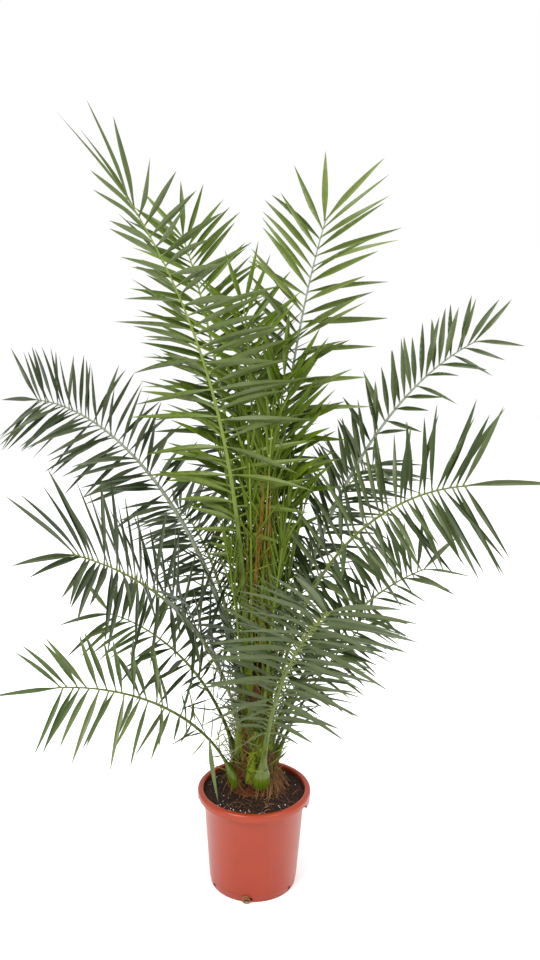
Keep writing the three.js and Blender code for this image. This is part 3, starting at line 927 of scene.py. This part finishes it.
# ---- pot and soil
# Radii: the wall's foot and neck from outside, and the mouth from inside.
FOOT, NECK, MOUTH = 108 * MM, 123.5 * MM, 125.5 * MM
WALL, FLOOR = 2.6 * MM, 3 * MM
SKIRT_LOW = POT_HEIGHT - 19 * MM
SHOULDER_LOW = SKIRT_LOW - 11 * MM
# The ears under the rim, and the drain holes.
GRIP = dict(arc=29, turn=-7.2, reach=138.8 * MM, drop=9 * MM, wall=2.5 * MM)
DRAIN = dict(count=6, radius=5 * MM, height=8 * MM, turn=-92)


def add_ears(heap):
    """Two ears: places where the skirt reaches lower, closed at their ends."""
    low, high = SKIRT_LOW - GRIP["drop"], SKIRT_LOW + 5 * MM

    def add_block(angles, inner, outer):
        corners = (inner, low), (outer, low), (outer, high), (inner, high)
        heap.tube([np.array([on_circle(radius, angle, height) for radius, height in corners])
                   for angle in np.radians(angles)])

    thick = degrees(GRIP["wall"] / GRIP["reach"])
    for turn in (GRIP["turn"], GRIP["turn"] + 180):
        first, last = turn - GRIP["arc"] / 2, turn + GRIP["arc"] / 2
        add_block(np.linspace(first, last, 17), GRIP["reach"] - GRIP["wall"], GRIP["reach"])
        for ends in ((first, first + thick), (last - thick, last)):
            add_block(ends, NECK - 1 * MM, GRIP["reach"] - 1 * MM)


def cut_drains(piece):
    """Round holes through the wall, just above the floor."""
    heap = Heap()
    for i in range(DRAIN["count"]):
        out = level_way(radians(DRAIN["turn"] + i * 360 / DRAIN["count"]))
        heap.tube([round_ring(out * reach + UP * DRAIN["height"], DRAIN["radius"],
                              quarter_turn(out), UP, turns(20))
                   for reach in (FOOT - 12 * MM, FOOT + 12 * MM)])
    cutter = put_in_scene("drains", heap.mesh("drains"))
    holes = piece.modifiers.new("drains", "BOOLEAN")
    holes.operation = "DIFFERENCE"
    holes.solver = "EXACT"
    holes.object = cutter
    graph = bpy.context.evaluated_depsgraph_get()
    cut = bpy.data.meshes.new_from_object(piece.evaluated_get(graph))
    piece.modifiers.clear()
    piece.data = cut
    bpy.data.objects.remove(cutter)


def shifted(offsets, radius, height):
    """Points of an outline, given in mm from a radius and a height."""
    return [(radius + out * MM, height + rise * MM) for out, rise in offsets]


def pot_profile():
    """The pot's outline, from its underside up the outside, over the rim and down the inside."""
    axis = 0.0001
    return [
        (axis, 1.5 * MM),
        *shifted([(-12, 1.5), (-11, 0), (-5, 0), (-2.4, 0.8), (-1.6, 2.4), (-1, 13.6), (-0.4, 14.8),
                  (0.9, 15.8), (1.2, 18)], FOOT, 0),
        (NECK, SHOULDER_LOW), (MOUTH + WALL, SKIRT_LOW),
        (MOUTH + WALL, POT_HEIGHT - WALL - 1 * MM), (RIM_RADIUS - WALL, POT_HEIGHT - WALL - 2 * MM),
        *shifted([(-0.8, 0.6)], RIM_RADIUS - WALL, SKIRT_LOW),
        *shifted([(-2.4, -0.2), (-1.2, 0.6), (-0.6, 3)], RIM_RADIUS, SKIRT_LOW),
        *shifted([(0, -7), (-0.6, -4), (-2, -2), (-4, -0.6), (-6.5, 0)], RIM_RADIUS, POT_HEIGHT),
        *shifted([(3.5, -0.2), (1.4, -1), (0.3, -2.6), (0, -5)], MOUTH, POT_HEIGHT),
        (MOUTH, SKIRT_LOW + 2 * MM), (NECK - WALL, SHOULDER_LOW),
        *shifted([(1, 18), (0.7, 14.4)], FOOT - WALL, 0),
        *shifted([(0, 4), (-3, 0)], FOOT - WALL, FLOOR),
        (axis, FLOOR),
    ]


def make_pot():
    material, tree, shader = new_material("pot_plastic")
    base = linear(138, 45, 17)
    stops = [(0.05, shade(base, 0.9)), (0.95, shade(base, 1.1))]
    set_inputs(tree, shader, {"Base Color": add_ramp(tree, add_noise(tree, 18, detail=2), stops),
                              "Roughness": 0.3, "Specular IOR Level": 0.35})
    shell = Heap()
    shell.tube([np.array([on_circle(radius, turn, height) for turn in turns(160)])
                for radius, height in pot_profile()], loop=True)
    cut_drains(shell.piece("pot_shell", [material], "pot", ["pot"], sharp=40))
    ears = Heap()
    add_ears(ears)
    ears.piece("pot_ears", [material], "pot", ["pot"])


def wall_inside(height):
    """Radius of the soil where it meets the pot's wall at a height."""
    heights, radii = zip(
        (FLOOR, FOOT - WALL - 3 * MM),
        (FLOOR + 4 * MM, FOOT - WALL),
        (SHOULDER_LOW, NECK - WALL),
        (SKIRT_LOW + 2 * MM, MOUTH),
    )
    return float(np.interp(height, heights, radii)) - 0.4 * MM


SOIL_EDGE = wall_inside(SOIL_TOP)


def soil_height(x, y):
    """The soil's uneven surface."""
    radius = hypot(x, y)
    height = SOIL_TOP - 2 * MM * ease(0.06, 0.125, radius)
    height += 3.5 * MM * noise.noise(Vector((x * 50, y * 50, 3)))
    return height + 2.4 * MM * noise.noise(Vector((x * 170, y * 170, 7)))


def on_soil(x, y, rise):
    return np.array([x, y, soil_height(x, y) + rise])


def add_crumb(heap, centre, size, seed, tint):
    """A small lump with an uneven surface."""
    rings = []
    for rise in (-0.9, -0.45, 0.1, 0.6, 0.92):
        wide = sqrt(max(0.0, 1 - rise * rise))
        ring = []
        for i in range(6):
            turn = pi * i / 3 + seed
            reach = wide * between(0.75, 1.25, seed * 7 + i + rise * 10)
            ring.append(centre + size * np.array([
                reach * cos(turn), reach * sin(turn) * between(0.7, 1.2, seed), rise * 0.7]))
        rings.append(np.array(ring))
    heap.tube(rings, tint)


def add_root(heap, tint):
    """A curl of root that has grown out of a drain hole at the front."""
    out = level_way(radians(DRAIN["turn"] - 3))
    side = quarter_turn(out)
    path = [out * (FOOT - 9 * MM) + UP * DRAIN["height"]]
    for t in np.linspace(0, 1, 22):
        curl = 2 * pi * (0.25 + 1.35 * t)
        size = (9 - 4 * t) * MM
        path.append(out * (FOOT + (3 + 5 * t) * MM) + UP * (size * sin(curl) + 10 * MM)
                    + side * (size * 1.3 * cos(curl) - 3 * MM))
    rings = []
    for i, point in enumerate(path):
        run = unit(path[min(i + 1, len(path) - 1)] - path[max(i - 1, 0)])
        over = unit(np.cross(run, out + 0.2 * UP))
        beside = np.cross(run, over)
        size = (2.2 - 1.2 * i / len(path)) * MM
        rings.append(round_ring(point, size, over, beside, turns(6)))
    heap.tube(rings, tint)


CRUMB_LOOK = dict(depth=0.4, scale=200, rough=(0.85, 1.0), specular=0.2)
SHRED_LOOK = dict(depth=0.3, scale=150, rough=(0.7, 0.9), specular=0.2)
SOIL_MATERIALS, SOIL_TINT = mottled_all({
    "soil_dark": ((34, 22, 17), dict(CRUMB_LOOK, depth=0.5, scale=180, bump=1.0, relief=2 * MM)),
    "soil_crumb": ((50, 32, 23), CRUMB_LOOK),
    "soil_black": ((24, 16, 14), dict(CRUMB_LOOK, rough=(0.8, 1.0))),
    "perlite": ((206, 200, 190), dict(depth=0.1, scale=150, rough=(0.7, 0.9))),
    "soil_straw": ((118, 88, 56), SHRED_LOOK),
    "soil_twig": ((78, 46, 30), SHRED_LOOK),
})
SOIL, CRUMB, BLACK_CRUMB, PERLITE, SOIL_STRAW, TWIG = SOIL_TINT.values()


def make_soil():
    """The soil's body: its uneven top, and its sides down the pot's wall."""
    angles = turns(160)
    rings = []
    for radius in np.linspace(0.001, SOIL_EDGE, 60):
        spots = [(radius * cos(turn), radius * sin(turn)) for turn in angles]
        rings.append(np.array([on_soil(x, y, 0) for x, y in spots]))
    for height in (SOIL_TOP - 22 * MM, SOIL_TOP - 30 * MM, FLOOR + 5 * MM, SOIL_BOX[0].z):
        rings.append(np.array([on_circle(wall_inside(height), turn, height) for turn in angles]))
    heap = Heap()
    heap.tube(rings, SOIL)
    heap.piece("soil_top", SOIL_MATERIALS, "soil", ["soil"], sharp=180)


def add_crumbs(heap, count):
    """Crumbs all over the soil, with specks of perlite, half of them near the wall at the front."""
    for i in range(count):
        speck = i % 16 == 0
        turn = chance(i + 1100) * 2 * pi
        radius = sqrt(between(0.04 ** 2, (SOIL_EDGE - 3 * MM) ** 2, i + 2100))
        if speck and i % 32 == 0:
            turn = radians(-95 + spread(90, i + 1200))
            radius = SOIL_EDGE - between(4, 22, i + 2200) * MM
        size = (0.8 + 2.4 * chance(i + 3100) ** 2.5) * MM
        tint = pick([(CRUMB, 0.5), (BLACK_CRUMB, 1)], i + 4100)
        if speck:
            size, tint = between(0.7, 1.8, i + 5100) * MM, PERLITE
        centre = on_soil(radius * cos(turn), radius * sin(turn), size * 0.2)
        add_crumb(heap, centre, size, i * 0.37, tint)


def add_shreds(heap, count):
    """Loose threads on the soil: a third anywhere, and the others at the right and at the front."""
    for i in range(count):
        turn = chance(i + 6100) * 2 * pi
        if i % 3 == 1:
            turn = radians(-25 + spread(50, i + 6200))
        elif i % 3 == 2:
            turn = radians(-95 + spread(70, i + 6300))
        gathered = 1.4 if i % 3 else 1.0
        radius = mix((0.05, SOIL_EDGE - 8 * MM), chance(i + 6400) ** gathered)
        length = (8 + 26 * chance(i + 6600) ** 1.5) * MM
        near = level_way(turn) * radius
        far = near + level_way(chance(i + 6500) * 2 * pi) * length
        far *= min(1, (SOIL_EDGE - 3 * MM) / np.linalg.norm(far))
        bow = np.array([spread(0.3, i + 6700) * length, spread(0.3, i + 6800) * length,
                        between(1, 5, i + 6900) * MM])
        add_thread(heap, on_soil(near[0], near[1], 1.5 * MM), on_soil(far[0], far[1], 1.5 * MM),
                   bow, between(0.4, 0.9, i + 7000) * MM,
                   pick([(SOIL_STRAW, 0.4), (TWIG, 1)], i + 7100))


def make_soil_bits():
    bits = Heap()
    add_crumbs(bits, 1100)
    add_shreds(bits, 150)
    add_root(bits, SOIL_STRAW)
    bits.piece("soil_bits", SOIL_MATERIALS, "soil")


# ---- floor, lights and camera
def make_stage():
    sheet = Heap()
    sheet.add([(-8, -8, 0), (8, -8, 0), (8, 8, 0), (-8, 8, 0)], [(0, 1, 2, 3)])
    ground = put_in_scene("floor", sheet.mesh("floor"))
    material, tree, shader = new_material("floor_white")
    set_inputs(tree, shader, {"Base Color": (0.93, 0.93, 0.94, 1), "Roughness": 0.9})
    ground.data.materials.append(material)
    world = bpy.data.worlds.new("studio")
    bpy.context.scene.world = world
    world.use_nodes = True
    tree = world.node_tree
    set_inputs(tree, tree.nodes["Background"], {"Color": (1.0, 1.0, 1.0, 1.0), "Strength": 1.0})


def make_light(name, place, aim, size, power):
    """A square lamp: its place, the point it aims at, its size in m and its power in W."""
    lamp = bpy.data.lights.new(name, "AREA")
    lamp.size = size
    lamp.energy = power
    light = put_in_scene(name, lamp)
    light.location = place
    light.rotation_euler = (Vector(aim) - Vector(place)).to_track_quat("-Z", "Y").to_euler()


CAMERA = dict(place=(0.026, -2.256, 1.54), pitch=12.7, roll=1.0, lens=37.5)


def make_camera():
    tilt = Matrix.Rotation(radians(90 - CAMERA["pitch"]), 4, "X")
    roll = Matrix.Rotation(radians(CAMERA["roll"]), 4, "Z")
    lens = bpy.data.cameras.new("camera")
    lens.lens = CAMERA["lens"]
    camera = put_in_scene("camera", lens)
    camera.matrix_world = Matrix.Translation(CAMERA["place"]) @ tilt @ roll
    bpy.context.scene.camera = camera


make_fronds()
make_bark()
make_fibres()
make_pot()
make_soil()
make_soil_bits()
make_stage()
make_light("key", (-2.0, -2.6, 3.6), (0, 0, 0.9), 1.8, 170)
make_light("fill", (2.4, -2.2, 2.8), (0, 0, 0.8), 2.2, 70)
make_light("top", (0.2, 0.6, 4.2), (0, 0, 0.8), 2.4, 120)
make_camera()
bpy.context.scene.view_settings.view_transform = "Standard"
